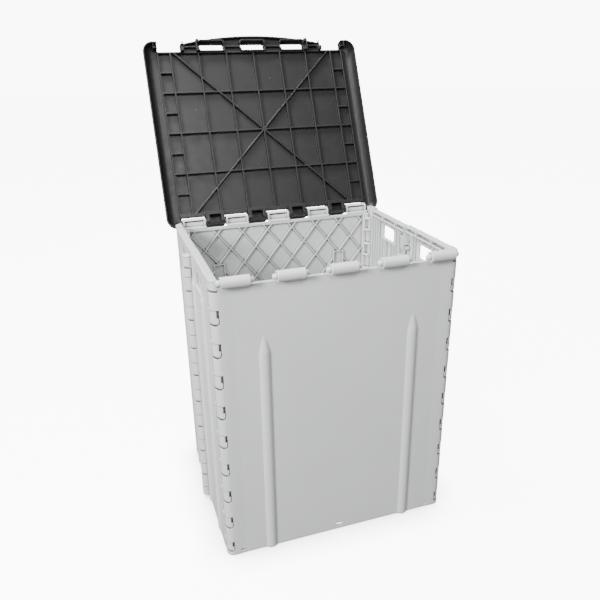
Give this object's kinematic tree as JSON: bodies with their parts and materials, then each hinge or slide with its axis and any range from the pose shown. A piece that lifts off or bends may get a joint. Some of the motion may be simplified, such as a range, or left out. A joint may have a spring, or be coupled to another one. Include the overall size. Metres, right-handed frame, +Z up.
{
  "type": "collapsible storage crate",
  "caption": "Tall folding plastic storage crate with hinged panels, hand holes, a fold-down floor and a hinged dark lid with an arched handle lip.",
  "frame": {"origin": "middle of the rear panel's bottom face, on the ground", "axes": "+X to the right seen from the front, +Y to the rear, +Z up; the front panel faces -Y"},
  "size_m": [0.428, 0.5111, 0.8166],
  "materials": {
    "white_plastic": "moulded white polypropylene with a fine satin texture",
    "dark_grey_plastic": "moulded charcoal grey polypropylene, satin",
    "steel_rod": "drawn steel wire, bright"
  },
  "bodies": {
    "rear": {"rear_panel": "white_plastic", "rear_rod_plugs": "white_plastic", "rear_left_rod": "steel_rod", "rear_right_rod": "steel_rod", "floor_hinge_pin": "steel_rod"},
    "left_rear": {"left_rear_side": "white_plastic", "left_middle_rod": "steel_rod", "left_hinge_cap": "white_plastic"},
    "left_front": {"left_front_side": "white_plastic"},
    "right_rear": {"right_rear_side": "white_plastic", "right_middle_rod": "steel_rod", "right_hinge_cap": "white_plastic"},
    "right_front": {"right_front_side": "white_plastic"},
    "front": {"front_panel": "white_plastic", "front_rod_plugs": "white_plastic", "front_left_rod": "steel_rod", "front_right_rod": "steel_rod"},
    "floor": {"floor_panel": "white_plastic"},
    "lid": {"lid": "dark_grey_plastic"},
    "left_lock": {"left_side_lock": "white_plastic"},
    "right_lock": {"right_side_lock": "white_plastic"}
  },
  "joints": [
    {"name": "fold", "type": "hinge", "parent": "rear", "child": "left_rear", "pos_m": [-0.188, -0.006, 0], "axis": [0, 0, 1], "range_deg": [0, 88]},
    {"name": "left_middle_hinge", "type": "hinge", "parent": "left_rear", "child": "left_front", "pos_m": [-0.204, -0.158, 0], "axis": [0, 0, 1], "range_deg": [-176, 0]},
    {"name": "front_left_hinge", "type": "hinge", "parent": "left_front", "child": "front", "pos_m": [-0.188, -0.31, 0], "axis": [0, 0, 1], "range_deg": [0, 88]},
    {"name": "right_rear_hinge", "type": "hinge", "parent": "rear", "child": "right_rear", "pos_m": [0.188, -0.006, 0], "axis": [0, 0, 1], "range_deg": [-88, 0]},
    {"name": "right_middle_hinge", "type": "hinge", "parent": "right_rear", "child": "right_front", "pos_m": [0.204, -0.158, 0], "axis": [0, 0, 1], "range_deg": [0, 176]},
    {"name": "floor_hinge", "type": "hinge", "parent": "rear", "child": "floor", "pos_m": [0, -0.0017, 0.009], "axis": [-1, 0, 0], "range_deg": [-90, 0]},
    {"name": "lid_hinge", "type": "hinge", "parent": "rear", "child": "lid", "pos_m": [0, 0.0125, 0.49], "axis": [-1, 0, 0], "range_deg": [-114.5, 0]},
    {"name": "left_lock_slide", "type": "slide", "parent": "left_rear", "child": "left_lock", "axis": [0, 0, 1], "range_m": [-0.01, 0]},
    {"name": "right_lock_slide", "type": "slide", "parent": "right_rear", "child": "right_lock", "axis": [0, 0, 1], "range_m": [-0.01, 0]}
  ],
  "couplings": [
    {"joint": "left_middle_hinge", "follows": "fold", "ratio": -2},
    {"joint": "front_left_hinge", "follows": "fold", "ratio": 1},
    {"joint": "right_rear_hinge", "follows": "fold", "ratio": -1},
    {"joint": "right_middle_hinge", "follows": "fold", "ratio": 2}
  ]
}
